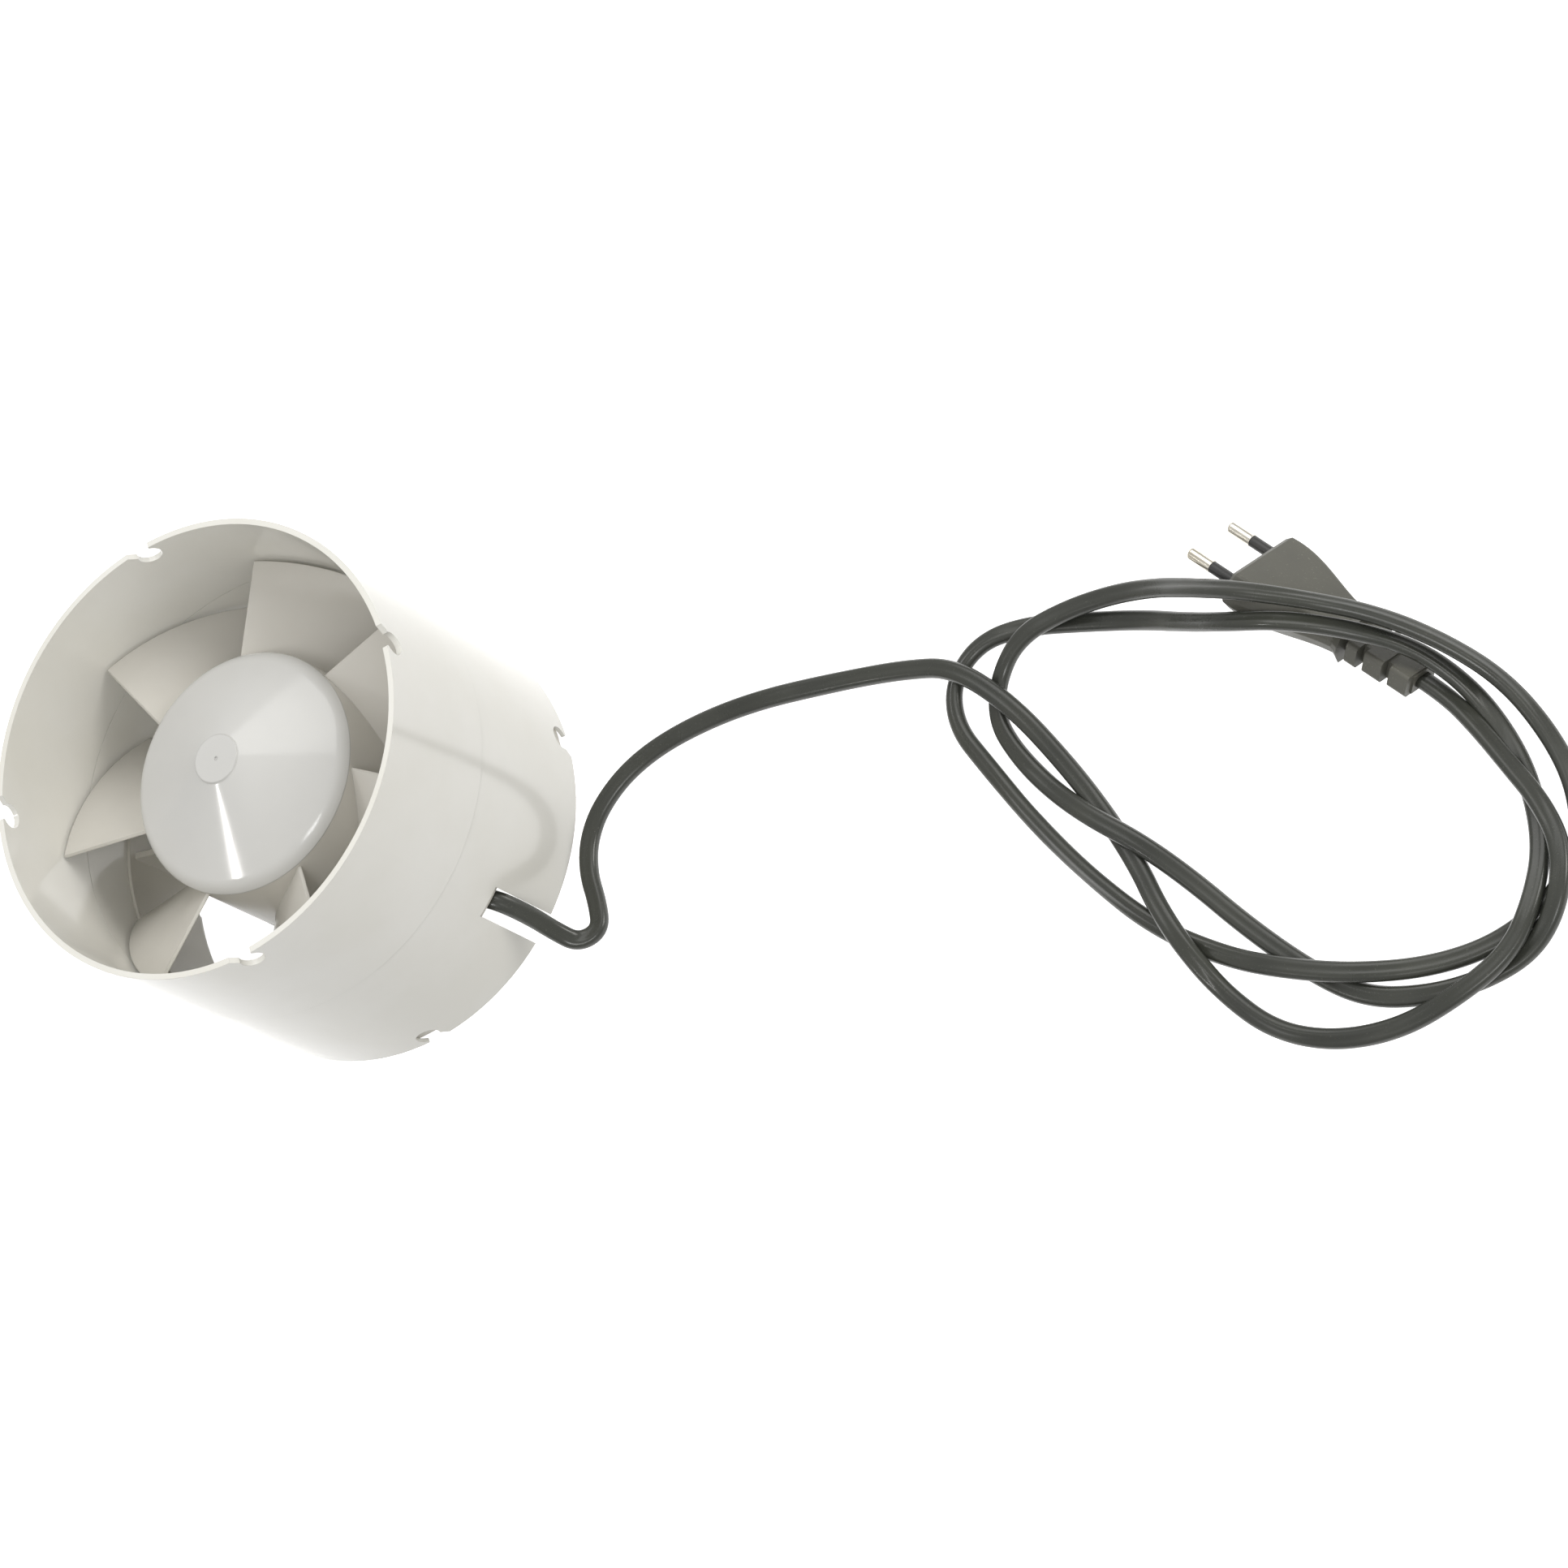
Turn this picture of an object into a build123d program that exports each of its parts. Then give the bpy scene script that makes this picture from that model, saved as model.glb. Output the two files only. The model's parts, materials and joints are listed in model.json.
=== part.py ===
from build123d import *
import math
import os

# Inline duct fan for a 150 mm round duct, standing on its rear rim.
# Millimetres. Origin: centre of the rear rim. +Z: along the axis, towards the front (inlet) rim.
# +X: from the axis towards the cable slot in the rear casing.

# ---- Casing ----
DUCT_R = 75.0            # outside radius of the front casing
REAR_R = 74.45           # the rear casing is a little smaller
WALL = 1.9
LENGTH = 108.0           # rear rim to front rim
SEAM_Z = 57.3            # where the two halves meet
SPIGOT_LEN = 5.8
SPIGOT_R = 74.0          # outside radius of the rear half's spigot
SEAM_BEVEL = 0.3
BORE_R = DUCT_R - WALL
NOTCH_ANGLES = (50, 140, 220, 320)
NOTCH_R = 4.0
NOTCH_DEPTH = 4.4        # rim to the centre of the notch's round bottom
SLOT_W = 10.4
SLOT_TOP = 33.3

# ---- Impeller ----
HUB_R = 40.0
HUB_WALL = 1.8
HUB_BOTTOM = 38.5
HUB_TOP = 79.0
BLADES = 7
BLADE_PHASE = 6.0        # angle of a blade's middle line
BLADE_LEAD = (21.0, 13.0)   # angle of the leading edge before the middle line, at the hub and the tip
BLADE_TRAIL = 27.0          # angle of the trailing edge behind it
BLADE_TOP = 78.0
BLADE_BOTTOM = 43.5
BLADE_THICK = 1.6
BLADE_CAMBER = 2.5
TIP_R = BORE_R - 1.0
WEB_Z = 74.0
WEB_THICK = 2.5
BOSS_R = 9.0
BUSH_R = 5.5
BUSH_BOTTOM = 69.0
BUSH_TOP = 79.0

# ---- Nose cone ----
NOSE_TOP = 95.0
NOSE_FLAT_R = 7.9
NOSE_SHOULDER = (36.4, 82.9)
NOSE_WALL = 1.8

# ---- Guide vane carrier ----
VANES = 5
VANE_THICK = 2.0
RING_R = BORE_R - 0.05
RING_WALL = 1.2
RING_BOTTOM, RING_TOP = 3.0, 41.0
CUP_BOTTOM, CUP_TOP = 4.0, 37.5
PLATE_BOTTOM, PLATE_TOP = 6.0, 8.5
CHANNEL_BOTTOM, CHANNEL_TOP = 24.6, 31.8
CHANNEL_W, CHANNEL_WALL = 9.4, 1.1
CHANNEL_COVER = 1.2
CHANNEL_END_X = 65.0
RING_SLOT_TOP = 30.6     # the ring shows as a bar across the end of the casing's slot

# ---- Motor ----
SHAFT_R = 3.0
SHAFT_BOTTOM, SHAFT_TOP = 8.6, 85.0
CAN_R, CAN_WALL = 30.0, 1.2
CAN_BOTTOM, CAN_TOP = 15.0, 57.0
SHIELD_THICK = 2.5
BEARING_R, BEARING_W = 9.5, 6.0
BEARING_BOSS_R = 11.5
BEARING_LIP_R = 7.8      # the lips hold the outer races and clear the inner ones
REAR_BEARING_Z, FRONT_BEARING_Z = 9.0, 58.0
BALLS, BALL_R, BALL_PITCH_R, BALL_GAP = 8, 1.75, 6.25, 0.05
CORE_BOTTOM, CORE_TOP = 25.0, 47.0
STATOR_IN_R = 16.8
ROTOR_R = 16.4
SLOT_IN_R, SLOT_OUT_R = 19.3, 25.8
COILS = 4
FOOT_R = 33.5            # pitch radius of the motor's feet
FOOT_ANGLES = (60, 180, 300)
COVER_SCREW_ANGLES = (0, 120, 240)
BUSHING_TOP = 12.5

# ---- Cord and plug ----
CORD_W, CORD_T = 6.4, 4.0          # flat two-core cord
CORD_D = 5.3                       # round tube of the same section area
CORD_Z = 28.8                      # height of the cord in its channel
CORD_START_X = 56.0
PLUG_ORIGIN = (256.0, 197.0, 14.8)
PLUG_YAW, PLUG_PITCH, PLUG_ROLL = -8.0, 6.0, -43.0
PIN_LEN, PIN_R, PIN_SLEEVE_R = 19.0, 2.0, 1.9
PIN_PITCH = 18.6
SLEEVE_LEN = 10.0
BODY_LEN, BODY_W, BODY_T = 36.0, 35.3, 13.7
RELIEF_END = 64.0

# The cord's route: down from the slot to a tight fold beside the rim, along the floor, then
# two and a half loose turns that cross each other and lie over the plug, which ends it.
ROUTE = [
    (56, 0, 28.8), (68, 0.3, 28.8), (74, 1.5, 26), (80, 1.8, 17), (85.5, 1.2, 9.5), (92, 1.5, 4),
    (96, 8.5, 2.8), (90, 15.5, 2.8), (81.5, 22.5, 2.8), (75.5, 32, 2.8), (73.5, 44, 2.8),
    (77, 59.5, 2.8), (87.5, 76, 2.8), (106, 94.5, 2.8), (131, 112, 2.8), (153, 125, 5), (172, 132.5, 9.2),
    (197, 129.5, 8.8), (220, 121, 5), (240, 112.5, 2.8), (260, 102.5, 4), (276, 93.5, 8.8),
    (291, 86, 8.8), (307, 79.5, 4), (327, 76.5, 2.8), (346, 81.5, 2.8), (363, 93, 4),
    (377, 108.5, 8.8), (385.8, 127, 8.8), (384.3, 144, 8.8), (375.5, 160, 3.2), (362, 175.5, 2.8),
    (346, 186, 2.8), (331, 192.8, 7.5), (315, 195, 17), (298, 190.5, 27), (280, 184.5, 31),
    (263, 178, 28), (244, 174, 17), (222, 170, 5), (203, 162.5, 2.8), (185, 154, 2.8),
    (172.3, 143, 2.8), (170.5, 128, 2.8), (179.5, 116, 2.8), (196, 109.5, 2.8), (220, 100.5, 2.8),
    (247, 93, 2.8), (275, 88, 2.8), (302, 89.5, 3.5), (324, 94.5, 8.6), (344, 102, 8.6),
    (363, 113.5, 3.5), (378, 128, 2.8), (387, 146, 2.8), (387.5, 163, 2.8), (378, 178, 2.8),
    (362, 189.5, 3.5), (343, 198, 8.5), (324, 200, 17), (304, 198.3, 25), (284, 192.5, 32.5),
    (264, 187, 34), (246, 183, 27), (228, 179.5, 17), (211, 173, 10), (197, 162.5, 8.8),
    (187.3, 150, 8.8), (184.5, 136, 2.8), (191, 123.5, 2.8), (204, 116.5, 2.8), (221, 111.5, 3.5),
    (240, 109, 9), (259, 108.5, 9), (279, 105.5, 2.8), (302, 100.5, 2.8), (327, 97, 2.8),
    (348, 97, 2.8), (366, 105.5, 2.8), (380, 117.5, 2.8), (389, 131, 3), (391.5, 146, 8.8),
    (384, 161, 8.8), (371, 170, 8.8), (356, 176.3, 8.2), (342, 182.2, 6.8),
]


# ---- Shapes used more than once ----
def tube(r_out, r_in, z_low, z_high):
    """A ring or, with r_in 0, a disc about the axis."""
    shape = Pos(0, 0, z_low) * Cylinder(r_out, z_high - z_low, align=(Align.CENTER, Align.CENTER, Align.MIN))
    if r_in > 0:
        hole = Cylinder(r_in, z_high - z_low + 2, align=(Align.CENTER, Align.CENTER, Align.MIN))
        shape -= Pos(0, 0, z_low - 1) * hole
    return shape


def block(x, y, z):
    """A box between two values along each axis."""
    size = [high - low for low, high in (x, y, z)]
    return Pos(x[0], y[0], z[0]) * Box(*size, align=(Align.MIN,) * 3)


def ring_sector(r_in, r_out, z_low, z_high, angle, width):
    """Part of a ring, width degrees wide and centred on angle."""
    section = Plane.XZ * Polyline((r_in, z_low), (r_out, z_low), (r_out, z_high), (r_in, z_high), close=True)
    return Rot(0, 0, angle - width / 2) * revolve(make_face(section), Axis.Z, width)


def round_solid(outline):
    """An outline of (radius, z) points turned about the axis."""
    return revolve(make_face(Plane.XZ * Polyline(*outline, close=True)), Axis.Z)


def around(shape, angles):
    """Copies of a shape turned about the axis."""
    return [Rot(0, 0, angle) * shape for angle in angles]


def at_radius(shape, radius, angle):
    return Rot(0, 0, angle) * Pos(radius, 0, 0) * shape


def evenly(count, start=0.0):
    return [start + 360 / count * i for i in range(count)]


def upright(radius, z_low, z_high):
    """An upright cylinder on the origin."""
    return Pos(0, 0, z_low) * Cylinder(radius, z_high - z_low, align=(Align.CENTER, Align.CENTER, Align.MIN))


def hexagon(across, z_low, z_high):
    return Pos(0, 0, z_low) * extrude(RegularPolygon(across / 2, 6, major_radius=False), z_high - z_low)


# ---- Casing ----
def notch(angle, rim_z, into, hook):
    """Cutter for one locking notch: a round pocket with a ramp on one side and a hooked lip on the
    other. into is the direction from the rim into the casing, and hook the side of the lip."""
    pocket = Pos(0, -NOTCH_DEPTH) * Circle(NOTCH_R)
    mouth = make_face(Polyline((-6.2, 1), (-5.6, -0.3), (-3.6, -3.0), (0, -NOTCH_DEPTH), (2.9, -2.4),
                               (2.0, -0.7), (2.6, 1), close=True))
    shape = extrude(pocket + mouth, 3 * WALL, both=True)
    facing = Plane(origin=(DUCT_R - WALL / 2, 0, rim_z), x_dir=(0, hook, 0), z_dir=(-hook * into, 0, 0))
    return Rot(0, 0, angle) * (facing.location * shape)


def lip_side(angle):
    """The front lips face the cable slot: +1 for a lip towards greater angles."""
    return 1 if angle > 180 else -1


def front_casing():
    shell = tube(DUCT_R, BORE_R, SEAM_Z, LENGTH)
    shell -= tube(SPIGOT_R + 0.05, 0, SEAM_Z - 1, SEAM_Z + SPIGOT_LEN + 0.2)
    outer_edge = shell.edges().filter_by(GeomType.CIRCLE).filter_by(
        lambda e: abs(e.radius - DUCT_R) < 0.01 and abs(e.center().Z - SEAM_Z) < 0.01)
    shell = chamfer(outer_edge, SEAM_BEVEL)
    for angle in NOTCH_ANGLES:
        shell -= notch(angle, LENGTH, -1, lip_side(angle))
    return shell


def rear_casing():
    shell = tube(REAR_R, BORE_R, 0, SEAM_Z)
    outer_edge = shell.edges().filter_by(GeomType.CIRCLE).filter_by(
        lambda e: abs(e.radius - REAR_R) < 0.01 and abs(e.center().Z - SEAM_Z) < 0.01)
    shell = chamfer(outer_edge, SEAM_BEVEL)
    shell += tube(SPIGOT_R, BORE_R, SEAM_Z, SEAM_Z + SPIGOT_LEN)
    for angle in NOTCH_ANGLES:
        shell -= notch(angle, 0, 1, -lip_side(angle))
    shell -= block((BORE_R - 5, DUCT_R + 5), (-SLOT_W / 2, SLOT_W / 2), (-1, SLOT_TOP))
    return shell


# ---- Impeller and nose ----
def blade_section(x, lead_angle):
    """A cambered section in the plane at distance x, from the leading to the trailing edge."""
    lead = (x * math.tan(math.radians(lead_angle)), BLADE_TOP)
    trail = (-x * math.tan(math.radians(BLADE_TRAIL)), BLADE_BOTTOM)
    run, rise = lead[0] - trail[0], lead[1] - trail[1]
    chord = math.hypot(run, rise)
    across = (-rise / chord, run / chord)

    def bow(depth):
        middle = ((lead[0] + trail[0]) / 2, (lead[1] + trail[1]) / 2)
        return (middle[0] + across[0] * depth, middle[1] + across[1] * depth)

    edge = (across[0] * BLADE_THICK * 0.7, across[1] * BLADE_THICK * 0.7)
    lead_low = (lead[0] - edge[0], lead[1] - edge[1])
    trail_low = (trail[0] - edge[0], trail[1] - edge[1])
    outline = Curve() + [
        ThreePointArc(trail, bow(BLADE_CAMBER), lead),
        Line(lead, lead_low),
        ThreePointArc(lead_low, bow(BLADE_CAMBER - BLADE_THICK * 1.2), trail_low),
        Line(trail_low, trail),
    ]
    return Plane(origin=(x, 0, 0), x_dir=(0, 1, 0), z_dir=(1, 0, 0)) * make_face(outline)


def blade():
    root, tip = blade_section(HUB_R - 8, BLADE_LEAD[0]), blade_section(TIP_R + 4, BLADE_LEAD[1])
    solid = loft([root, tip], ruled=True)
    return solid & tube(TIP_R, HUB_R - HUB_WALL / 2, BLADE_BOTTOM - 5, BLADE_TOP + 5)


def impeller():
    hub = tube(HUB_R, HUB_R - HUB_WALL, HUB_BOTTOM, HUB_TOP)
    hub += tube(HUB_R - HUB_WALL / 2, BUSH_R, WEB_Z, WEB_Z + WEB_THICK)
    hub += tube(BOSS_R, BUSH_R, BUSH_BOTTOM, BUSH_TOP)
    for rib in around(block((BOSS_R - 1, HUB_R - 1), (-0.7, 0.7), (WEB_Z - 3, WEB_Z)), evenly(BLADES)):
        hub += rib
    for piece in around(blade(), evenly(BLADES, BLADE_PHASE)):
        hub += piece
    return hub


def nose_cone():
    """A true cone with a rounded shoulder, a small flat disc on its tip, and a spigot in the hub."""
    edge = make_face(Plane.XZ * (Curve() + [
        Line((0, NOSE_TOP), (NOSE_FLAT_R, NOSE_TOP)),
        Line((NOSE_FLAT_R, NOSE_TOP), (NOSE_FLAT_R + 0.3, NOSE_TOP - 0.5)),
        Line((NOSE_FLAT_R + 0.3, NOSE_TOP - 0.5), NOSE_SHOULDER),
        TangentArc(NOSE_SHOULDER, (HUB_R, HUB_TOP),
                   tangent=(NOSE_SHOULDER[0] - NOSE_FLAT_R - 0.3, NOSE_SHOULDER[1] - NOSE_TOP + 0.5)),
        Line((HUB_R, HUB_TOP), (HUB_R - NOSE_WALL, HUB_TOP)),
        Line((HUB_R - NOSE_WALL, HUB_TOP), (NOSE_SHOULDER[0] - 1.2, NOSE_SHOULDER[1] - NOSE_WALL)),
        Line((NOSE_SHOULDER[0] - 1.2, NOSE_SHOULDER[1] - NOSE_WALL),
             (NOSE_FLAT_R, NOSE_TOP - NOSE_WALL - 0.5)),
        Line((NOSE_FLAT_R, NOSE_TOP - NOSE_WALL - 0.5), (0, NOSE_TOP - NOSE_WALL)),
        Line((0, NOSE_TOP - NOSE_WALL), (0, NOSE_TOP)),
    ]))
    shell = revolve(edge, Axis.Z)
    spigot = tube(HUB_R - HUB_WALL, HUB_R - HUB_WALL - 1.4, WEB_Z + WEB_THICK + 0.3, HUB_TOP + 1.5)
    gate_mark = Pos(0, 0, NOSE_TOP) * Cylinder(0.6, 0.8)
    return shell + spigot - gate_mark


def hub_bush():
    return tube(BUSH_R, SHAFT_R, BUSH_BOTTOM, BUSH_TOP)


def shaft():
    return chamfer(tube(SHAFT_R, 0, SHAFT_BOTTOM, SHAFT_TOP).edges().filter_by(GeomType.CIRCLE), 0.5)


def shaft_nut():
    return hexagon(10, 80, 84) - upright(SHAFT_R, 79, 85)


def shaft_washer():
    return tube(6.5, SHAFT_R, 79, 80)


def shaft_clip():
    clip = tube(5.2, SHAFT_R, 67.8, 68.8)
    return clip - block((1.5, 7), (-1.6, 1.6), (67, 70))


# ---- Bearings ----
def race_groove(z_low):
    centre = Plane.XZ * Pos(BALL_PITCH_R, z_low + BEARING_W / 2) * Circle(BALL_R + BALL_GAP)
    return revolve(centre, Axis.Z)


def inner_race(z_low):
    return tube(BALL_PITCH_R - 1.35, SHAFT_R, z_low, z_low + BEARING_W) - race_groove(z_low)


def outer_race(z_low):
    return tube(BEARING_R, BALL_PITCH_R + 1.35, z_low, z_low + BEARING_W) - race_groove(z_low)


def balls(z_low):
    return around(Pos(BALL_PITCH_R, 0, z_low + BEARING_W / 2) * Sphere(BALL_R), evenly(BALLS))


def preload_washer():
    z = FRONT_BEARING_Z + BEARING_W
    return tube(BEARING_R - 0.2, BEARING_R - 2.2, z, z + 0.5)


# ---- Motor ----
def shield_vents(z_low, z_high):
    return [ring_sector(15, 25, z_low, z_high, angle, 22) for angle in evenly(6, 30)]


def rear_shield():
    z = CAN_BOTTOM
    disc = tube(CAN_R, BEARING_R, BUSHING_TOP, z)
    disc += tube(BEARING_BOSS_R, BEARING_R, REAR_BEARING_Z, z)
    disc += tube(BEARING_BOSS_R, BEARING_LIP_R, REAR_BEARING_Z - 1, REAR_BEARING_Z)
    for angle in FOOT_ANGLES:
        foot = block((CAN_R - 4, FOOT_R), (-4, 4), (BUSHING_TOP, z))
        foot += Pos(FOOT_R, 0, 0) * upright(4, BUSHING_TOP, z)
        disc += Rot(0, 0, angle) * foot
    for angle in FOOT_ANGLES:
        disc -= at_radius(upright(2.1, BUSHING_TOP - 1, z + 1), FOOT_R, angle)
    for vent in shield_vents(BUSHING_TOP - 1, z + 1):
        disc -= vent
    for angle in evenly(3, 0):
        disc -= at_radius(upright(1.3, BUSHING_TOP - 1, z + 1), 27.3, angle)
    return disc


def front_shield():
    top = CAN_TOP + SHIELD_THICK
    boss_top = FRONT_BEARING_Z + BEARING_W + 0.5
    disc = tube(CAN_R, BEARING_R, CAN_TOP, top)
    disc += tube(BEARING_BOSS_R, BEARING_R, CAN_TOP, boss_top)
    disc += tube(BEARING_BOSS_R, BEARING_LIP_R, boss_top, boss_top + 1)
    for vent in shield_vents(CAN_TOP - 1, top + 1):
        disc -= vent
    for angle in evenly(3, 0):
        disc -= at_radius(upright(1.3, CAN_TOP - 1, top + 1), 27.3, angle)
    return disc


def motor_can():
    can = tube(CAN_R, CAN_R - CAN_WALL, CAN_BOTTOM, CAN_TOP)
    lead_hole = Pos(CAN_R, 0, CORD_Z - 8) * Rot(0, 90, 0) * Cylinder(2.2, 6)
    return can - Rot(0, 0, 20) * lead_hole


def tie_bolts():
    """Three long bolts outside the windings that clamp the two shields on the can."""
    low, high = BUSHING_TOP, CAN_TOP + SHIELD_THICK
    bolt = upright(1.25, low, high) + upright(2.4, low - 1.6, low) + hexagon(4.4, high, high + 1.8)
    return [at_radius(bolt, 27.3, angle) for angle in evenly(3, 0)]


def coil(angle):
    """One winding: a closed frame whose two legs lie in slots of the core."""
    frame = ring_sector(SLOT_IN_R + 0.2, SLOT_OUT_R - 0.2, 19, 53, angle, 70)
    return frame - ring_sector(SLOT_IN_R - 1, SLOT_OUT_R + 1, 24.6, 47.4, angle, 40)


def stator_core():
    core = tube(CAN_R - CAN_WALL, STATOR_IN_R, CORE_BOTTOM, CORE_TOP)
    for angle in evenly(COILS, 45):
        for side in (-27.5, 27.5):
            core -= ring_sector(SLOT_IN_R, SLOT_OUT_R, CORE_BOTTOM - 1, CORE_TOP + 1, angle + side, 16)
    for angle in evenly(3, 0):
        core -= at_radius(upright(1.4, CORE_BOTTOM - 1, CORE_TOP + 1), 27.3, angle)
    return core


def stator_coils():
    return [coil(angle) for angle in evenly(COILS, 45)]


def rotor_core():
    return tube(ROTOR_R, SHAFT_R, CORE_BOTTOM, CORE_TOP)


def rotor_end_rings():
    return [tube(15.6, 9, CORE_BOTTOM - 2.6, CORE_BOTTOM), tube(15.6, 9, CORE_TOP, CORE_TOP + 2.6)]


# ---- Guide vane carrier and what fixes the motor to it ----
def cable_channel():
    """The arm under the cord: a trough from the cup to the cable slot."""
    arm = block((HUB_R - 1, CHANNEL_END_X), (-CHANNEL_W / 2, CHANNEL_W / 2), (CHANNEL_BOTTOM, CHANNEL_TOP))
    inside = CHANNEL_W / 2 - CHANNEL_WALL
    return arm - block((HUB_R - 4, RING_R), (-inside, inside), (CHANNEL_BOTTOM + 1.4, CHANNEL_TOP + 1))


def vane_carrier():
    body = tube(RING_R, RING_R - RING_WALL, RING_BOTTOM, RING_TOP)
    body += tube(HUB_R, HUB_R - HUB_WALL, CUP_BOTTOM, CUP_TOP)
    body += tube(HUB_R - 1, BEARING_BOSS_R + 1.5, PLATE_BOTTOM, PLATE_TOP)
    for angle in evenly(VANES):
        top = CHANNEL_BOTTOM if angle == 0 else RING_TOP - 3
        reach = (HUB_R - 1, RING_R - RING_WALL / 2)
        vane = block(reach, (-VANE_THICK / 2, VANE_THICK / 2), (RING_BOTTOM + 2, top))
        body += Rot(0, 0, angle) * vane
    body += cable_channel()
    half = CHANNEL_W / 2 + 0.6
    body -= block((RING_R - 6, RING_R + 2), (-half, half), (RING_BOTTOM - 1, RING_SLOT_TOP))
    body -= block((HUB_R - 5, HUB_R + 1), (-3.4, 3.4), (CHANNEL_BOTTOM + 1.4, CHANNEL_TOP))
    for angle in COVER_SCREW_ANGLES:
        body += at_radius(upright(3, CUP_BOTTOM, PLATE_BOTTOM), FOOT_R, angle)
    for angle in COVER_SCREW_ANGLES:
        body -= at_radius(upright(1.2, CUP_BOTTOM - 1, PLATE_TOP + 1), FOOT_R, angle)
    for angle in FOOT_ANGLES:
        body -= at_radius(upright(2.1, CUP_BOTTOM, PLATE_TOP + 1), FOOT_R, angle)
    return body


def channel_cover():
    half = CHANNEL_W / 2
    lid = block((HUB_R, CHANNEL_END_X), (-half, half), (CHANNEL_TOP, CHANNEL_TOP + CHANNEL_COVER))
    return fillet(lid.edges().group_by(Axis.Z)[-1], 0.5)


def cord_wedge():
    """Pinches the cord in the channel, under the cover."""
    return block((44, 52), (-3.3, 3.3), (CORD_Z + CORD_T / 2, CHANNEL_TOP))


def rubber_bushings():
    grommet = tube(4.6, 2.1, PLATE_TOP, BUSHING_TOP) - tube(6, 3.9, PLATE_TOP + 1.4, PLATE_TOP + 2.6)
    return [at_radius(grommet, FOOT_R, angle) for angle in FOOT_ANGLES]


def motor_screws():
    screw = upright(1.9, PLATE_BOTTOM, 18.5) + upright(3.4, PLATE_BOTTOM - 2, PLATE_BOTTOM)
    screw -= block((-2.6, 2.6), (-0.4, 0.4), (PLATE_BOTTOM - 2.5, PLATE_BOTTOM - 1.1))
    return [at_radius(screw, FOOT_R, angle) for angle in FOOT_ANGLES]


def motor_nuts():
    nut = Rot(0, 0, 30) * hexagon(6.2, CAN_BOTTOM, CAN_BOTTOM + 2.6)
    nut -= upright(1.9, CAN_BOTTOM - 1, CAN_BOTTOM + 4)
    return [at_radius(nut, FOOT_R, angle) for angle in FOOT_ANGLES]


def rear_cover():
    """Shallow vented cap that closes the motor cup."""
    cap = round_solid([(0, 1.2), (30, 1.2), (38.5, 2.4), (HUB_R, CUP_BOTTOM), (HUB_R - 2.2, CUP_BOTTOM),
                       (36.5, 3), (29.5, 2.8), (0, 2.8)])
    for radius in (14, 20, 26):
        for angle in evenly(6):
            cap -= ring_sector(radius, radius + 2.6, 0, 5, angle, 38)
    for angle in COVER_SCREW_ANGLES:
        cap += at_radius(upright(3.6, 2.0, CUP_BOTTOM), FOOT_R, angle)
    for angle in COVER_SCREW_ANGLES:
        cap -= at_radius(upright(1.4, 0, 6), FOOT_R, angle)
        cap -= at_radius(upright(3.1, 0, 2.2), FOOT_R, angle)
    return cap


def cover_screws():
    screw = upright(1.15, 2.2, 8) + upright(2.9, 0.9, 2.2)
    screw -= block((-2, 2), (-0.35, 0.35), (0.5, 1.5)) + block((-0.35, 0.35), (-2, 2), (0.5, 1.5))
    return [at_radius(screw, FOOT_R, angle) for angle in COVER_SCREW_ANGLES]


# ---- Wiring inside the cup ----
def inner_cord():
    """The flat cord from the cup's wall to where the free cord starts."""
    return block((33, CORD_START_X), (-CORD_W / 2, CORD_W / 2), (CORD_Z - CORD_T / 2, CORD_Z + CORD_T / 2))


def terminal_block():
    body = block((31, 37), (-8, 8), (19, 27))
    for y in (-4, 4):
        body -= Pos(34, y, 23) * Rot(90, 0, 0) * Rot(0, 90, 0) * Cylinder(1.2, 7)
        body -= Pos(34, y, 0) * upright(1.5, 24, 28)
    return Rot(0, 0, 32) * body


def terminal_screws():
    return [Rot(0, 0, 32) * Pos(34, y, 0) * upright(1.45, 24.2, 26.6) for y in (-4, 4)]


def thermal_fuse():
    return Rot(0, 0, -40) * Pos(33.2, 0, 30) * (Cylinder(2, 9) + Cylinder(0.5, 16))


# ---- Plug, in its own frame: x from the pins' root to the cord, y across, z through ----
def plug_place(shape):
    placed = Pos(*PLUG_ORIGIN) * Rot(0, 0, PLUG_YAW) * Rot(0, PLUG_PITCH, 0) * Rot(PLUG_ROLL, 0, 0)
    return placed * shape


def plug_section(x, half_width, half_thick):
    """A flattened hexagon across the plug: wide in the middle, narrower flats above and below."""
    flat = half_width * 0.74
    side = half_thick * 0.2
    outline = Polyline((half_width, -side), (half_width, side), (flat, half_thick), (-flat, half_thick),
                       (-half_width, side), (-half_width, -side), (-flat, -half_thick), (flat, -half_thick),
                       close=True)
    section = make_face(outline)
    section = fillet(section.vertices(), side * 0.9)
    return Plane(origin=(x, 0, 0), x_dir=(0, 1, 0), z_dir=(1, 0, 0)) * section


def plug_body():
    half, thick = BODY_W / 2, BODY_T / 2
    nose = loft([plug_section(0, half - 1.2, thick - 1.0), plug_section(1.4, half, thick)], ruled=True)
    grip = loft([plug_section(1.4, half, thick), plug_section(10, half - 0.4, thick),
                 plug_section(19, half - 3.2, thick - 0.5), plug_section(28, half - 6.6, thick - 1.4),
                 plug_section(BODY_LEN, half - 8.8, thick - 1.9)])
    return plug_place(nose + grip)


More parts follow.
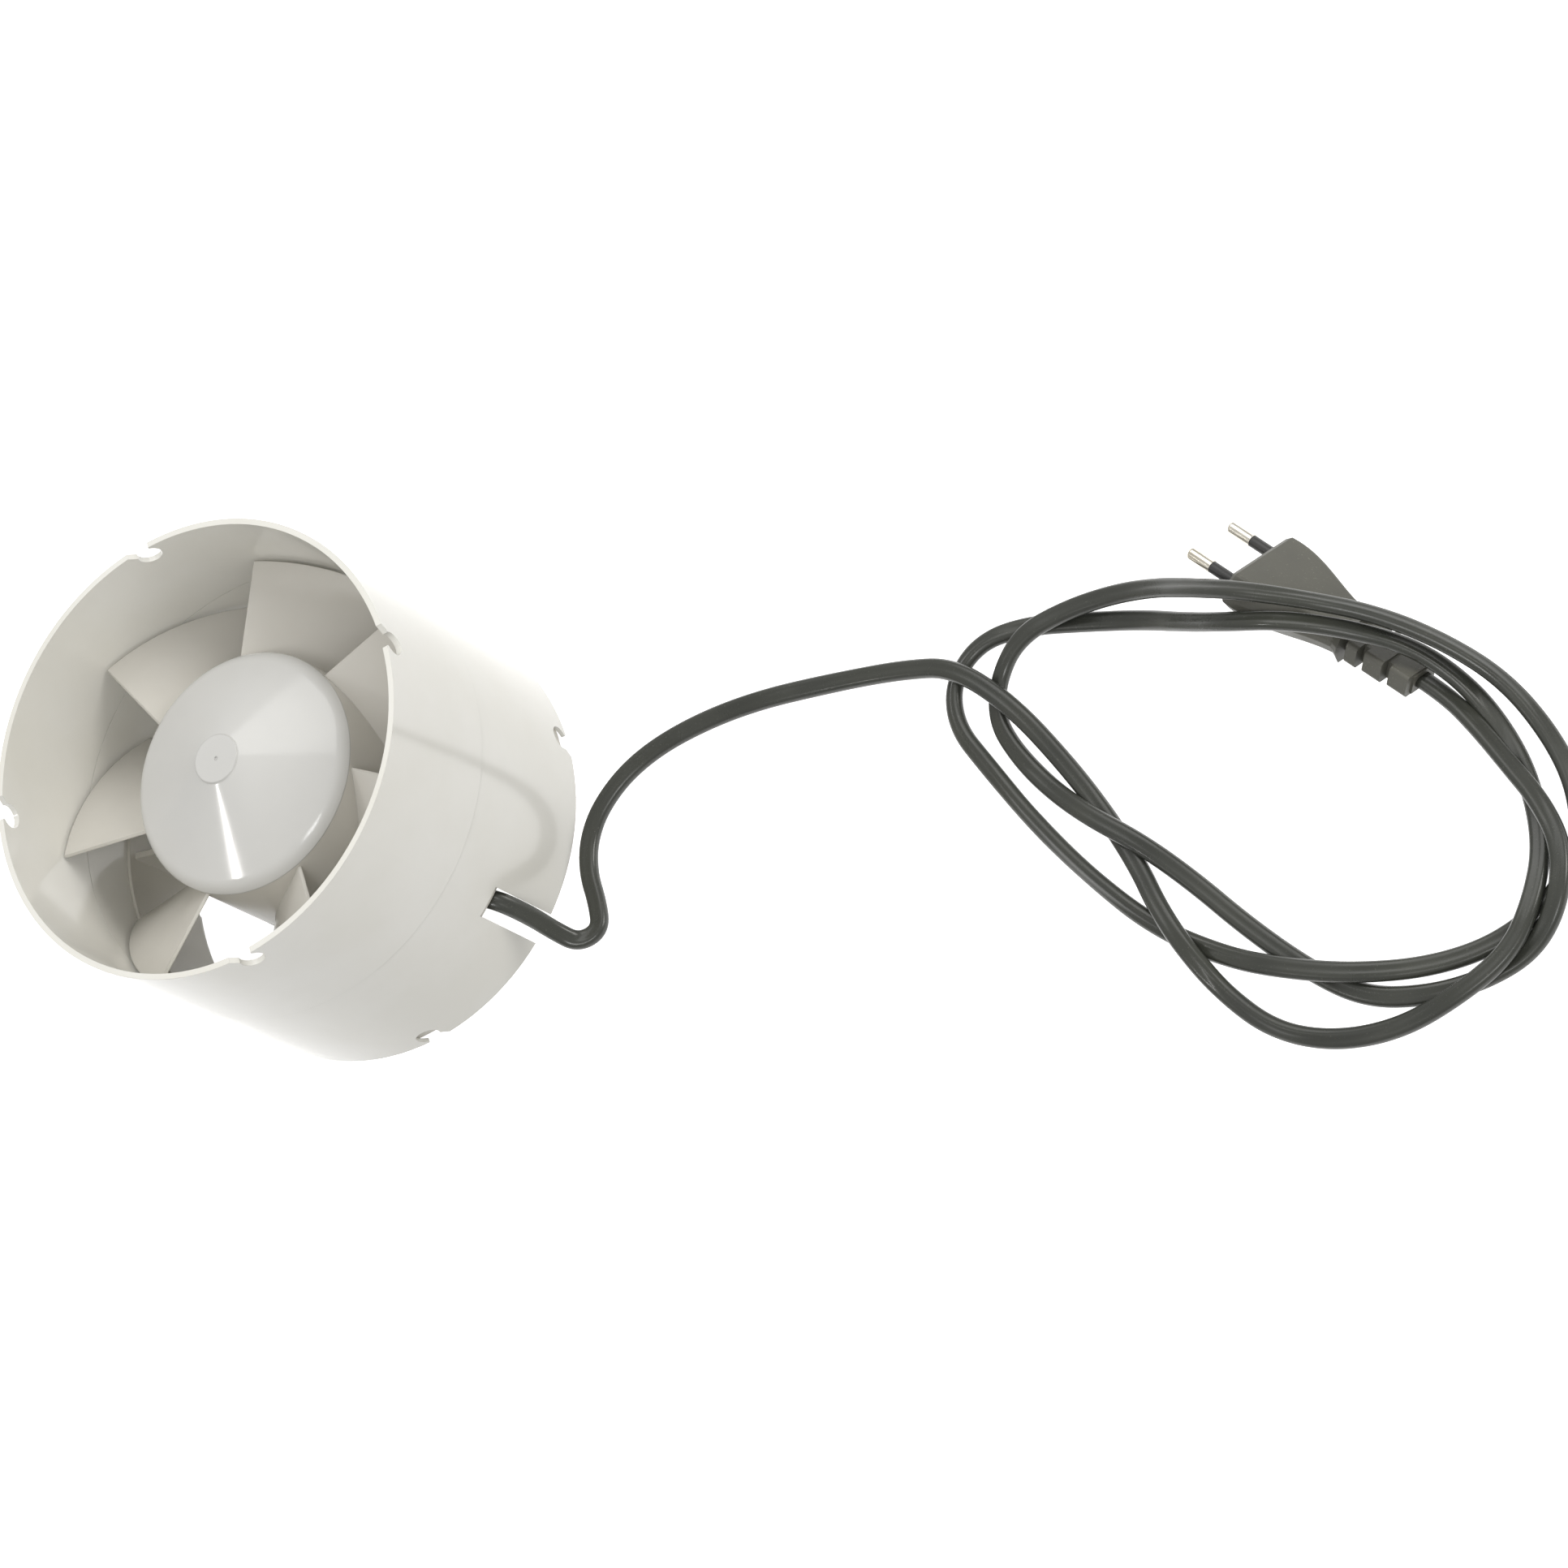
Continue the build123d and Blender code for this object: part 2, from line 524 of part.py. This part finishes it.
def plug_relief():
    """A collar and a notched bend relief behind the body."""
    shape = loft([plug_section(BODY_LEN, 8.8, 4.9), plug_section(BODY_LEN + 3, 10.2, 6.2)], ruled=True)
    shape += block((BODY_LEN + 2, RELIEF_END), (-4.4, 4.4), (-3.2, 3.2))
    for low, high, half in ((41.2, 45.2, 8.4), (47.6, 54.2, 7.8), (56.6, 63.4, 7.0)):
        shape += fillet(block((low, high), (-half, half), (-3.9, 3.9)).edges().filter_by(Axis.X), 1.4)
    return plug_place(shape)


def plug_pins():
    pin = Cylinder(PIN_R, PIN_LEN - SLEEVE_LEN, align=(Align.CENTER, Align.CENTER, Align.MIN))
    pin = fillet(pin.edges().filter_by(GeomType.CIRCLE).sort_by(Axis.Z)[-1], 1.2)
    return [plug_place(Pos(-SLEEVE_LEN, side * PIN_PITCH / 2, 0) * Rot(0, -90, 0) * pin) for side in (-1, 1)]


def pin_sleeves():
    sleeve = Cylinder(PIN_SLEEVE_R, SLEEVE_LEN, align=(Align.CENTER, Align.CENTER, Align.MIN))
    return [plug_place(Pos(0, side * PIN_PITCH / 2, 0) * Rot(0, -90, 0) * sleeve) for side in (-1, 1)]


# ---- Cord ----
def corner_radii(points):
    """0.45 of the shorter run, divided by the tangent of half the turn, at each corner."""
    radii = []
    for before, here, after in zip(points, points[1:], points[2:]):
        run_in, run_out = Vector(*here) - Vector(*before), Vector(*after) - Vector(*here)
        half_turn = math.radians(run_in.get_angle(run_out) / 2)
        radii.append(0.45 * min(run_in.length, run_out.length) / math.tan(half_turn))
    return radii


def cord_path():
    in_line = [tuple(plug_place(Pos(x, 0, 0)).position) for x in (RELIEF_END + 10, RELIEF_END)]
    points = ROUTE + in_line
    radii = corner_radii(points)
    print("cord corner radii:", " ".join(f"{r:.0f}" for r in radii))
    return FilletPolyline(*points, radius=radii)


def power_cord():
    path = cord_path()
    section = Plane(origin=path @ 0, z_dir=path % 0) * Circle(CORD_D / 2)
    cord = sweep(section, path=path)
    print(f"cord length {path.length:.1f}, volume {cord.volume:.0f},",
          f"section x length {math.pi * CORD_D ** 2 / 4 * path.length:.0f}")
    return cord


NODES = {
    "front_casing": front_casing,
    "rear_casing": rear_casing,
    "impeller": impeller,
    "nose_cone": nose_cone,
    "hub_bush": hub_bush,
    "shaft": shaft,
    "shaft_nut": shaft_nut,
    "shaft_washer": shaft_washer,
    "shaft_clip": shaft_clip,
    "rotor_core": rotor_core,
    "rotor_end_rings": rotor_end_rings,
    "front_bearing_inner_race": lambda: inner_race(FRONT_BEARING_Z),
    "front_bearing_outer_race": lambda: outer_race(FRONT_BEARING_Z),
    "front_bearing_balls": lambda: balls(FRONT_BEARING_Z),
    "rear_bearing_inner_race": lambda: inner_race(REAR_BEARING_Z),
    "rear_bearing_outer_race": lambda: outer_race(REAR_BEARING_Z),
    "rear_bearing_balls": lambda: balls(REAR_BEARING_Z),
    "preload_washer": preload_washer,
    "front_shield": front_shield,
    "rear_shield": rear_shield,
    "motor_can": motor_can,
    "tie_bolts": tie_bolts,
    "stator_core": stator_core,
    "stator_coils": stator_coils,
    "vane_carrier": vane_carrier,
    "channel_cover": channel_cover,
    "cord_wedge": cord_wedge,
    "rubber_bushings": rubber_bushings,
    "motor_screws": motor_screws,
    "motor_nuts": motor_nuts,
    "rear_cover": rear_cover,
    "cover_screws": cover_screws,
    "inner_cord": inner_cord,
    "terminal_block": terminal_block,
    "terminal_screws": terminal_screws,
    "thermal_fuse": thermal_fuse,
    "plug_body": plug_body,
    "plug_relief": plug_relief,
    "plug_pins": plug_pins,
    "pin_sleeves": pin_sleeves,
    "power_cord": power_cord,
}


def main():
    os.makedirs("parts", exist_ok=True)
    for name, make in NODES.items():
        made = make()
        solids = made if isinstance(made, list) else made.solids()
        pieces = [solid for part in solids for solid in part.solids()]
        shape = solids[0] if len(solids) == 1 else Compound(children=pieces)
        export_step(shape, f"parts/{name}.step")


main()
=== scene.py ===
import json
import math

import bpy
from mathutils import Matrix, Vector


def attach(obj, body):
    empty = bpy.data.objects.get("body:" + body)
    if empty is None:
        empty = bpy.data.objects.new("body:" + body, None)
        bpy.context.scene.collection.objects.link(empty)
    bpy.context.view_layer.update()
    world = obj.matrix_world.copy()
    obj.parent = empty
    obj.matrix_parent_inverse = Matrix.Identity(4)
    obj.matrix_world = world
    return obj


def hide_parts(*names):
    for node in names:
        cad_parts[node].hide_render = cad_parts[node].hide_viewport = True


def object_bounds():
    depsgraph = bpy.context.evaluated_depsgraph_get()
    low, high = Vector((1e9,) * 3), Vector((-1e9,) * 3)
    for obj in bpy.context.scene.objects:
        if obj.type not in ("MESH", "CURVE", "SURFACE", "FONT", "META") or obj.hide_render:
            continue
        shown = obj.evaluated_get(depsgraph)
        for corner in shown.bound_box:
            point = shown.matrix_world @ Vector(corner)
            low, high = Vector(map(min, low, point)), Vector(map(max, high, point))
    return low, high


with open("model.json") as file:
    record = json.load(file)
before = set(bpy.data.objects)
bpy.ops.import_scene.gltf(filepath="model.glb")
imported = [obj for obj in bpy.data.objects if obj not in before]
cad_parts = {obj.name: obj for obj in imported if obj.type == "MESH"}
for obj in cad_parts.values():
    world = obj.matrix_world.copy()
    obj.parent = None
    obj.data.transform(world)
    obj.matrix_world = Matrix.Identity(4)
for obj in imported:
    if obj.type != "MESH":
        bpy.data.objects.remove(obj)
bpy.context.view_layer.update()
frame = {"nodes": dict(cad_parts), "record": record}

MM = 0.001

# ---- Camera ----
CAMERA_AT = Vector((1.0507, 0.0326, 1.3569))
VIEW = Vector((-0.56109, 0.02664, -0.82733))
IMAGE_RIGHT = Vector((0.73880, 0.46686, -0.48602))
LENS, SENSOR = 119.57, 36

# ---- Cord: a flat two-core cord ----
CORD_WIDTH, CORD_THICK = 0.0064, 0.0040
FLOOR_GAP = 0.35    # mm
# The route's points in mm, with the cord's twist there in degrees: 0 lies flat.
# A height of None rests on the floor.
ROUTE = [
    (56, 0, 28.8, 0), (68, 0.3, 28.8, 0), (74, 1.8, 26, 0), (80, 2.1, 17, 0), (85.5, 1.4, 9.5, 0),
    (92, 1.5, 4.2, 0), (96, 8.5, None, 0), (90, 15.5, None, 0), (81.5, 22.5, None, 5),
    (75.5, 32, None, 10), (73.5, 44, None, 10), (77, 59.5, None, 15), (87.5, 76, None, 20),
    (106, 94.5, None, 15), (131, 112, None, 0),
    (153, 125, 4, 0), (171, 132.2, 6.8, 0), (196, 129.3, 6.8, 0), (220, 121, 4, 0), (240, 112.5, None, 0),
    (260, 102.5, 3.5, 0), (275, 93.5, 6.8, 0), (290, 86, 6.8, 10), (307, 79.5, 3.5, 30),
    (327, 76.5, None, 45), (346, 81.5, None, 30), (363, 93, 3.5, 10), (376, 108.5, 6.8, 0),
    (384.8, 127, 6.8, 0), (383.2, 144, 6.8, 0), (375.5, 160, None, 0), (362, 175.5, None, 0),
    (346, 186, None, 20), (331, 192.8, 7.5, 40), (315, 195, 16, 40), (298, 190.5, 26, 30),
    (280, 184.5, 30.4, 20), (263, 178, 27.5, 15), (244, 174, 16.5, 10), (222, 170, 5, 0),
    (203, 162.5, None, 0), (185, 154, None, 0), (172.3, 143, None, 20), (170.5, 128, None, 30),
    (179.5, 116, None, 30), (196, 109.5, None, 30), (220, 100.5, None, 40), (247, 93, None, 50),
    (275, 88, None, 40), (302, 89.5, 3.2, 20), (324, 94.5, 6.8, 0), (344, 102, 6.8, 0),
    (363, 113.5, 3.5, 0), (378, 128, None, 0), (387, 146, None, 10), (387.5, 163, None, 20),
    (378, 178, None, 30), (362, 189.5, 3.2, 40), (343, 198, 8, 50), (324, 200, 16.5, 50),
    (304, 198.3, 24.5, 45), (284, 192.5, 32, 40), (264, 187, 33.4, 30), (246, 183, 26.5, 20),
    (228, 179.5, 16.5, 10), (211, 173, 9, 0), (197, 162.5, 6.8, 0), (187, 150, 6.8, 0),
    (184.5, 136, None, 20), (191, 123.5, None, 25), (204, 116.5, None, 20), (221, 111.5, 3.2, 0),
    (240, 109, 6.8, 0), (259, 108.5, 6.8, 0), (279, 105.5, None, 0), (302, 100.5, None, 0),
    (327, 97, None, 0), (348, 97, None, 10), (366, 105.5, None, 10), (380, 117.5, None, 0),
    (389, 131, None, 0), (391, 146, 6.8, 0), (383.5, 161, 6.8, 0), (371, 170, 6.8, 20),
    (356, 176.3, 7.0, 35), (342, 182.2, 6.8, 43),
]
PLUG_ORIGIN = (256.0, 197.0, 14.8)
PLUG_YAW, PLUG_PITCH, PLUG_ROLL = -8.0, 6.0, -43.0
RELIEF_END = 64.0
IN_LINE = 10.0


# ---- World: its strength rises from the first to the second over these heights of the view ----
SKY_HEIGHTS = (-0.4, 0.5)
SKY_STRENGTH = (0.38, 0.62)
SKY_TINT = (1, 0.995, 0.98, 1)

# ---- Flat cord's section ----
OUTLINE_POINTS = 40
GROOVE_DEPTH = 0.13         # share of half the thickness
GROOVE_REACH = 0.0007
CURVE_STEPS = 12            # points on the smooth curve for each point of the route

# ---- Floor ----
FLOOR_HALF = 6
FLOOR_DROP = 0.0002         # below the lowest point of the part
FLOOR_GLOW = 0.95


# ---- Camera and lights ----
def make_camera():
    camera = bpy.data.objects.new("camera", bpy.data.cameras.new("camera"))
    turn = Matrix((IMAGE_RIGHT, IMAGE_RIGHT.cross(VIEW), -VIEW)).transposed()
    camera.matrix_world = Matrix.Translation(CAMERA_AT) @ turn.to_4x4()
    camera.data.sensor_width = SENSOR
    camera.data.lens = LENS
    camera.data.clip_end = 20
    bpy.context.collection.objects.link(camera)
    bpy.context.scene.camera = camera


def area_light(name, place, aim, size, power, tint=(1, 1, 1)):
    lamp = bpy.data.objects.new(name, bpy.data.lights.new(name, "AREA"))
    lamp.data.shape = "RECTANGLE"
    lamp.data.size, lamp.data.size_y = size
    lamp.data.energy = power
    lamp.data.color = tint
    lamp.location = place
    lamp.rotation_euler = (Vector(aim) - Vector(place)).to_track_quat("-Z", "Y").to_euler()
    bpy.context.collection.objects.link(lamp)


def make_world():
    """A pale studio, a little darker below the horizon."""
    world = bpy.data.worlds.new("studio")
    world.use_nodes = True
    tree = world.node_tree
    place = tree.nodes.new("ShaderNodeTexCoord")
    split = tree.nodes.new("ShaderNodeSeparateXYZ")
    level = tree.nodes.new("ShaderNodeMapRange")
    level.inputs["From Min"].default_value, level.inputs["From Max"].default_value = SKY_HEIGHTS
    level.inputs["To Min"].default_value, level.inputs["To Max"].default_value = SKY_STRENGTH
    tree.links.new(place.outputs["Generated"], split.inputs["Vector"])
    tree.links.new(split.outputs["Z"], level.inputs["Value"])
    tree.links.new(level.outputs["Result"], tree.nodes["Background"].inputs["Strength"])
    tree.nodes["Background"].inputs["Color"].default_value = SKY_TINT
    bpy.context.scene.world = world


def make_lights():
    fan = (0.0, 0.0, 0.08)
    area_light("softbox", (-0.5, 1.0, 1.65), fan, (1.5, 1.1), 10, (1.0, 0.995, 0.98))
    area_light("back", (1.3, 1.4, 1.0), (0.1, 0.0, 0.05), (0.8, 0.8), 13, (1.0, 0.985, 0.95))
    area_light("spark", (-0.546, -1.20, 1.73), fan, (0.09, 0.09), 2.4, (1.0, 0.99, 0.97))
    area_light("cord_light", (0.9, -0.3, 1.7), (0.28, 0.15, 0.0), (0.5, 0.5), 7)
    make_world()
    bpy.context.scene.view_settings.view_transform = "Standard"


# ---- Node helpers ----
class Shader:
    """A material's node tree with a principled shader, in object coordinates."""

    def __init__(self, name, roughness, metallic=0.0):
        self.material = bpy.data.materials.new(name)
        self.material.use_nodes = True
        self.tree = self.material.node_tree
        self.shader = self.tree.nodes["Principled BSDF"]
        self.shader.inputs["Roughness"].default_value = roughness
        self.shader.inputs["Metallic"].default_value = metallic
        self.place = self.add("ShaderNodeTexCoord").outputs["Object"]

    def add(self, kind, **settings):
        node = self.tree.nodes.new(kind)
        for key, value in settings.items():
            setattr(node, key, value)
        return node

    def link(self, output, socket):
        self.tree.links.new(output, socket)

    def noise(self, scale, detail=3.0, roughness=0.5, stretch=None):
        node = self.add("ShaderNodeTexNoise")
        node.inputs["Scale"].default_value = scale
        node.inputs["Detail"].default_value = detail
        node.inputs["Roughness"].default_value = roughness
        source = self.place
        if stretch:
            mapping = self.add("ShaderNodeMapping")
            mapping.inputs["Scale"].default_value = stretch
            self.link(self.place, mapping.inputs["Vector"])
            source = mapping.outputs["Vector"]
        self.link(source, node.inputs["Vector"])
        return node.outputs["Fac"]

    def remap(self, value, low, high, to_low, to_high):
        node = self.add("ShaderNodeMapRange")
        limits = {"From Min": low, "From Max": high, "To Min": to_low, "To Max": to_high}
        for socket, number in limits.items():
            node.inputs[socket].default_value = number
        self.link(value, node.inputs["Value"])
        return node.outputs["Result"]

    def mix(self, factor, first, second):
        node = self.add("ShaderNodeMix", data_type="RGBA")
        for socket, value in ((6, first), (7, second)):
            if isinstance(value, tuple):
                node.inputs[socket].default_value = (*value, 1)
            else:
                self.link(value, node.inputs[socket])
        self.link(factor, node.inputs[0])
        return node.outputs[2]

    def bump(self, height, strength, distance, normal=None):
        node = self.add("ShaderNodeBump")
        node.inputs["Strength"].default_value = strength
        node.inputs["Distance"].default_value = distance
        self.link(height, node.inputs["Height"])
        if normal:
            self.link(normal, node.inputs["Normal"])
        return node.outputs["Normal"]

    def soft_edges(self, radius):
        node = self.add("ShaderNodeBevel", samples=4)
        node.inputs["Radius"].default_value = radius
        return node.outputs["Normal"]

    def finish(self, colour, roughness=None, normal=None):
        self.link(colour, self.shader.inputs["Base Color"])
        if roughness:
            self.link(roughness, self.shader.inputs["Roughness"])
        if normal:
            self.link(normal, self.shader.inputs["Normal"])
        return self.material


def moulded(name, base, shade, roughness, grain=0.15, scuff=0.35, edge=0.0003, wear=0.05):
    """Moulded plastic: cloudy colour, fine grain, faint rubbed streaks and dust specks."""
    s = Shader(name, roughness)
    cloud = s.remap(s.noise(22, 4), 0.35, 0.65, 0, 1)
    colour = s.mix(cloud, base, shade)
    specks = s.remap(s.noise(1500, 2), 0.72, 0.80, 0, scuff)
    colour = s.mix(specks, colour, tuple(c * 0.55 for c in shade))
    streaks = s.noise(90, 3, 0.6, stretch=(1, 1, 0.12))
    rough = s.remap(streaks, 0.3, 0.7, roughness - wear, roughness + wear)
    normal = s.bump(s.noise(2600, 2), grain, 0.00006, s.soft_edges(edge))
    return s.finish(colour, rough, normal)


def metal(name, base, shade, roughness, stretch=(1, 1, 14), scale=160.0, strength=0.12):
    """Metal with drawn or turned lines and cloudy tarnish."""
    s = Shader(name, roughness, metallic=1.0)
    tarnish = s.remap(s.noise(70, 4), 0.4, 0.7, 0, 1)
    lines = s.noise(scale, 3, 0.6, stretch=stretch)
    colour = s.mix(tarnish, base, shade)
    rough = s.remap(lines, 0.3, 0.7, roughness - 0.05, roughness + 0.12)
    return s.finish(colour, rough, s.bump(lines, strength, 0.00005, s.soft_edges(0.00015)))


def cord_rubber(name, base, shade, roughness, streak_scale):
    """Dull sheathing: rubbed lighter patches, fine grain and dust."""
    s = Shader(name, roughness)
    rub = s.remap(s.noise(40, 3, 0.5), 0.25, 0.75, 0, 1)
    colour = s.mix(rub, base, shade)
    dust = s.remap(s.noise(1400, 2), 0.66, 0.74, 0, 0.5)
    colour = s.mix(dust, colour, tuple(min(1, c * 2.2) for c in shade))
    rough = s.remap(s.noise(streak_scale, 3), 0.3, 0.7, roughness - 0.08, roughness + 0.12)
    return s.finish(colour, rough, s.bump(s.noise(3000, 2), 0.18, 0.00006))


def winding(name):
    """Enamelled copper wire wound round the coil."""
    s = Shader(name, 0.28, metallic=0.7)
    wave = s.add("ShaderNodeTexWave", bands_direction="Z")
    wave.inputs["Scale"].default_value = 520
    wave.inputs["Distortion"].default_value = 1.2
    s.link(s.place, wave.inputs["Vector"])
    colour = s.mix(wave.outputs["Fac"], (0.20, 0.06, 0.02), (0.62, 0.26, 0.09))
    rough = s.remap(s.noise(300), 0.3, 0.7, 0.2, 0.4)
    return s.finish(colour, rough, s.bump(wave.outputs["Fac"], 0.6, 0.0003))


def laminations(name):
    """Stacked electrical sheet: fine lines across the axis."""
    s = Shader(name, 0.42, metallic=0.9)
    wave = s.add("ShaderNodeTexWave", bands_direction="Z")
    wave.inputs["Scale"].default_value = 320
    s.link(s.place, wave.inputs["Vector"])
    colour = s.mix(wave.outputs["Fac"], (0.10, 0.11, 0.13), (0.30, 0.31, 0.34))
    rough = s.remap(s.noise(200), 0.3, 0.7, 0.34, 0.52)
    return s.finish(colour, rough, s.bump(wave.outputs["Fac"], 0.5, 0.0001))


# ---- Materials of the CAD nodes ----
def make_materials():
    return {
        "casing_white": moulded("casing_white", (0.80, 0.79, 0.745), (0.755, 0.742, 0.685), 0.16,
                                grain=0.03, scuff=0.12, edge=0.0002, wear=0.03),
        "impeller_grey": moulded("impeller_grey", (0.62, 0.60, 0.555), (0.585, 0.565, 0.515), 0.24,
                                 grain=0.02, scuff=0.1, edge=0.0005, wear=0.015),
        "nose_grey": moulded("nose_grey", (0.60, 0.597, 0.58), (0.575, 0.572, 0.555), 0.14, grain=0.03,
                             scuff=0.15, edge=0.0006, wear=0.03),
        "carrier_grey": moulded("carrier_grey", (0.60, 0.58, 0.52), (0.57, 0.55, 0.49), 0.42, scuff=0.2,
                                edge=0.0004),
        "dark_cord": cord_rubber("dark_cord", (0.033, 0.035, 0.030), (0.047, 0.049, 0.040), 0.27, 60),
        "plug_black": cord_rubber("plug_black", (0.085, 0.084, 0.070), (0.115, 0.113, 0.092), 0.46, 80),
        "black_plastic": moulded("black_plastic", (0.030, 0.030, 0.030), (0.045, 0.044, 0.042), 0.42),
        "nickel": metal("nickel", (0.80, 0.77, 0.70), (0.68, 0.63, 0.52), 0.20, strength=0.03),
        "steel": metal("steel", (0.58, 0.58, 0.60), (0.42, 0.42, 0.43), 0.26),
        "zinc_steel": metal("zinc_steel", (0.60, 0.60, 0.57), (0.44, 0.44, 0.40), 0.34, stretch=(1, 1, 1)),
        "lamination": laminations("lamination"),
        "aluminium": metal("aluminium", (0.68, 0.69, 0.70), (0.50, 0.51, 0.52), 0.44, stretch=(1, 1, 1),
                           scale=400),
        "winding": winding("winding"),
        "rubber": cord_rubber("bushing_rubber", (0.018, 0.018, 0.018), (0.035, 0.034, 0.032), 0.62, 120),
        "brass": metal("brass", (0.66, 0.48, 0.20), (0.46, 0.32, 0.12), 0.30),
        "terminal_beige": moulded("terminal_beige", (0.62, 0.57, 0.45), (0.56, 0.51, 0.40), 0.48),
        "fuse_body": metal("fuse_body", (0.70, 0.70, 0.69), (0.55, 0.55, 0.53), 0.30),
    }


def paint_nodes(materials):
    slots = {part["node"]: part["material_slot"] for part in frame["record"]["subparts"]}
    for name, piece in frame["nodes"].items():
        piece.data.materials.clear()
        piece.data.materials.append(materials[slots[name]])


# ---- Cord ----
def rest_height(twist):
    """Height of the flat cord's centre when it touches the floor at that twist."""
    flat, edge = CORD_THICK / 2, CORD_WIDTH / 2
    return (flat + (edge - flat) * abs(math.sin(math.radians(twist)))) / MM + FLOOR_GAP


def plug_point(x):
    """A point on the plug's axis, x mm behind the face that its pins stand on."""
    place = Matrix.Translation(PLUG_ORIGIN)
    for angle, axis in ((PLUG_YAW, "Z"), (PLUG_PITCH, "Y"), (PLUG_ROLL, "X")):
        place = place @ Matrix.Rotation(math.radians(angle), 4, axis)
    return place @ Vector((x, 0, 0))


def cord_points():
    """The whole route, which ends in line with the plug's axis."""
    points = [(x, y, rest_height(twist) if z is None else z, twist) for x, y, z, twist in ROUTE]
    for x in (RELIEF_END + IN_LINE, RELIEF_END):
        points.append((*plug_point(x), -PLUG_ROLL))
    return points


def smooth_line(points):
    """Points along the smooth curve that has the route's points as its control points."""
    curve = bpy.data.curves.new("route", "CURVE")
    curve.dimensions = "3D"
    curve.resolution_u = CURVE_STEPS
    spline = curve.splines.new("NURBS")
    spline.points.add(len(points) - 1)
    for target, point in zip(spline.points, points):
        target.co = (*(c * MM for c in point[:3]), 1)
    spline.order_u = 3
    spline.use_endpoint_u = True
    holder = bpy.data.objects.new("route", curve)
    bpy.context.collection.objects.link(holder)
    bpy.context.view_layer.update()
    mesh = bpy.data.meshes.new_from_object(holder)
    line = [v.co.copy() for v in mesh.vertices]
    bpy.data.objects.remove(holder)
    bpy.data.meshes.remove(mesh)
    return line


def flat_profile():
    """Section of the two-core cord: two round cores with a shallow groove between them."""
    core = CORD_THICK / 2
    offset = CORD_WIDTH / 2 - core
    outline = []
    for i in range(OUTLINE_POINTS):
        angle = 2 * math.pi * i / OUTLINE_POINTS
        across, through = math.cos(angle), math.sin(angle)
        x = across * core + math.copysign(offset, across) * min(1, abs(across) * 2.2)
        groove = GROOVE_DEPTH * math.exp(-(x / GROOVE_REACH) ** 2)
        outline.append((x, through * core * (1 - groove)))
    return outline


def twist_at(share, points):
    """Twist between the route's points, eased."""
    place = share * (len(points) - 1)
    i = min(int(place), len(points) - 2)
    t = place - i
    ease = t * t * (3 - 2 * t)
    return points[i][3] * (1 - ease) + points[i + 1][3] * ease


def flat_cord(name, line, points, profile):
    """The section carried along the line, turned by the route's twist."""
    vertices, faces = [], []
    count = len(profile)
    for i, here in enumerate(line):
        ahead = (line[min(i + 1, len(line) - 1)] - line[max(i - 1, 0)]).normalized()
        side = Vector((0, 0, 1)).cross(ahead).normalized()
        up = ahead.cross(side)
        twist = math.radians(twist_at(i / (len(line) - 1), points))
        wide = side * math.cos(twist) + up * math.sin(twist)
        thin = up * math.cos(twist) - side * math.sin(twist)
        vertices += [here + wide * x + thin * y for x, y in profile]
    for i in range(len(line) - 1):
        for j in range(count):
            k = (j + 1) % count
            faces.append((i * count + j, i * count + k, (i + 1) * count + k, (i + 1) * count + j))
    faces.append(tuple(range(count - 1, -1, -1)))
    faces.append(tuple((len(line) - 1) * count + j for j in range(count)))
    mesh = bpy.data.meshes.new(name)
    mesh.from_pydata(vertices, [], faces)
    mesh.shade_smooth()
    piece = bpy.data.objects.new(name, mesh)
    bpy.context.collection.objects.link(piece)
    return piece


def make_cord(materials):
    points = cord_points()
    line = smooth_line(points)
    cord = flat_cord("supply_cord", line, points, flat_profile())
    cord.data.materials.append(materials["dark_cord"])
    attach(cord, "fan_body")
    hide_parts("power_cord")


# ---- Floor ----
def make_floor():
    """A white, evenly lit floor that gives no light to the part from below."""
    mesh = bpy.data.meshes.new("floor")
    corners = [(x * FLOOR_HALF, y * FLOOR_HALF, 0) for x, y in ((-1, -1), (1, -1), (1, 1), (-1, 1))]
    mesh.from_pydata(corners, [], [(0, 1, 2, 3)])
    floor = bpy.data.objects.new("floor", mesh)
    floor.location.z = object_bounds()[0][2] - FLOOR_DROP
    s = Shader("floor_white", 0.6)
    s.shader.inputs["Emission Color"].default_value = (1, 1, 1, 1)
    s.shader.inputs["Emission Strength"].default_value = FLOOR_GLOW
    cloud = s.remap(s.noise(3), 0.3, 0.7, 0, 1)
    floor.data.materials.append(s.finish(s.mix(cloud, (0.86, 0.86, 0.86), (0.84, 0.84, 0.84))))
    bpy.context.collection.objects.link(floor)
    floor.visible_diffuse = False


make_camera()
materials = make_materials()
make_cord(materials)
paint_nodes(materials)
make_floor()
make_lights()
